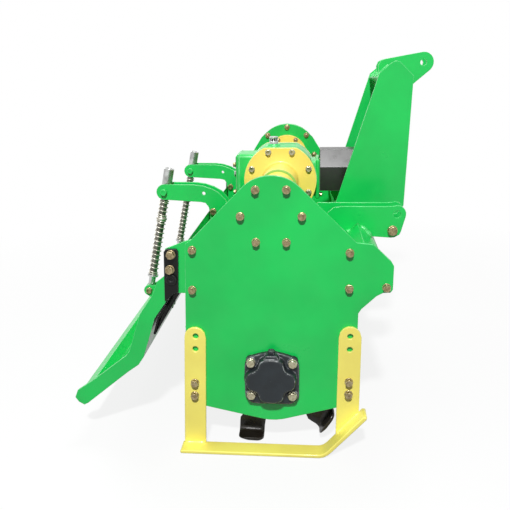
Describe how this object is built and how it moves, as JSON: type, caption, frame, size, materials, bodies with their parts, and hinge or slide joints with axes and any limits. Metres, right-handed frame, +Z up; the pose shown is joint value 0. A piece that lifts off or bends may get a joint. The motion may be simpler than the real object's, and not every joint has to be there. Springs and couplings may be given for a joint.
{
  "type": "rotary tiller",
  "caption": "Mounted rotary tiller with a bladed rotor under a hood, side gear case, gearbox, three-point mast, skids and a sprung tailboard that lifts.",
  "frame": {"origin": "on the ground, at the middle of the tiller in plan, under the middle of its box", "axes": "+X the driving direction, +Y along the rotor to the side with the gear case, +Z up"},
  "size_m": [1.0437, 1.3406, 1.0539],
  "materials": {
    "green_paint": "glossy green enamel",
    "yellow_paint": "glossy yellow enamel",
    "black_paint": "satin black enamel",
    "blade_steel": "dark painted steel",
    "black_plastic": "moulded black plastic",
    "zinc_plate": "bright zinc plate"
  },
  "bodies": {
    "frame": {"near_side_plate": "green_paint", "far_side_plate": "green_paint", "gear_case": "green_paint", "gear_case_cover": "green_paint", "front_tube": "green_paint", "front_bar": "green_paint", "rear_rail": "green_paint", "hood": "green_paint", "gearbox": "green_paint", "gearbox_stand": "green_paint", "mast_tie": "green_paint", "hitch_cheek_near_inner": "green_paint", "hitch_cheek_near_outer": "green_paint", "mast_plate_near": "green_paint", "top_link_lug_near": "green_paint", "spring_arm_near": "green_paint", "trumpet_near": "yellow_paint", "skid_rear_strut_near": "yellow_paint", "skid_front_strut_near": "yellow_paint", "skid_sole_near": "yellow_paint", "tail_bracket_near": "black_paint", "hitch_cheek_far_inner": "green_paint", "hitch_cheek_far_outer": "green_paint", "mast_plate_far": "green_paint", "top_link_lug_far": "green_paint", "spring_arm_far": "green_paint", "trumpet_far": "yellow_paint", "skid_rear_strut_far": "yellow_paint", "skid_front_strut_far": "yellow_paint", "skid_sole_far": "yellow_paint", "tail_bracket_far": "black_paint", "rotor_bearing": "black_paint", "pto_guard": "black_plastic"},
    "rotor": {"rotor_tube": "blade_steel", "blade_flange_1": "blade_steel", "blade_flange_2": "blade_steel", "blade_flange_3": "blade_steel", "blade_flange_4": "blade_steel", "blade_flange_5": "blade_steel", "blade_flange_6": "blade_steel"},
    "input_shaft": {"input_shaft": "zinc_plate"},
    "tailboard": {"tailboard": "green_paint"},
    "rod_near": {"spring_rod_near": "zinc_plate", "tail_spring_near": "zinc_plate"},
    "trunnion_near": {"trunnion_near": "zinc_plate"},
    "rod_far": {"spring_rod_far": "zinc_plate", "tail_spring_far": "zinc_plate"},
    "trunnion_far": {"trunnion_far": "zinc_plate"}
  },
  "joints": [
    {"name": "rotor_spin", "type": "hinge", "parent": "frame", "child": "rotor", "pos_m": [0.037, 0, 0.216], "axis": [0, 1, 0], "continuous": true},
    {"name": "input_shaft_spin", "type": "hinge", "parent": "frame", "child": "input_shaft", "pos_m": [0.213, 0, 0.654], "axis": [1, 0, 0], "continuous": true},
    {"name": "tailboard_lift", "type": "hinge", "parent": "frame", "child": "tailboard", "pos_m": [-0.2215, 0, 0.486], "axis": [0, 1, 0], "range_deg": [0, 40], "deforming": ["tail_spring_near", "tail_spring_far"]},
    {"name": "rod_near_tilt", "type": "hinge", "parent": "tailboard", "child": "rod_near", "pos_m": [-0.388, -0.222, 0.317], "axis": [0, 1, 0], "range_deg": [-14.9, 0.1]},
    {"name": "trunnion_near_tilt", "type": "hinge", "parent": "frame", "child": "trunnion_near", "pos_m": [-0.3185, -0.222, 0.645], "axis": [0, 1, 0], "range_deg": [-0.1, 25.3]},
    {"name": "rod_far_tilt", "type": "hinge", "parent": "tailboard", "child": "rod_far", "pos_m": [-0.388, 0.222, 0.317], "axis": [0, 1, 0], "range_deg": [-14.9, 0.1]},
    {"name": "trunnion_far_tilt", "type": "hinge", "parent": "frame", "child": "trunnion_far", "pos_m": [-0.3185, 0.222, 0.645], "axis": [0, 1, 0], "range_deg": [-0.1, 25.3]}
  ],
  "couplings": [
    {"joint": "input_shaft_spin", "follows": "rotor_spin", "ratio": 2.7},
    {"joint": "rod_near_tilt", "follows": "tailboard_lift", "ratio": -0.37},
    {"joint": "trunnion_near_tilt", "follows": "tailboard_lift", "ratio": 0.63},
    {"joint": "rod_far_tilt", "follows": "tailboard_lift", "ratio": -0.37},
    {"joint": "trunnion_far_tilt", "follows": "tailboard_lift", "ratio": 0.63}
  ]
}
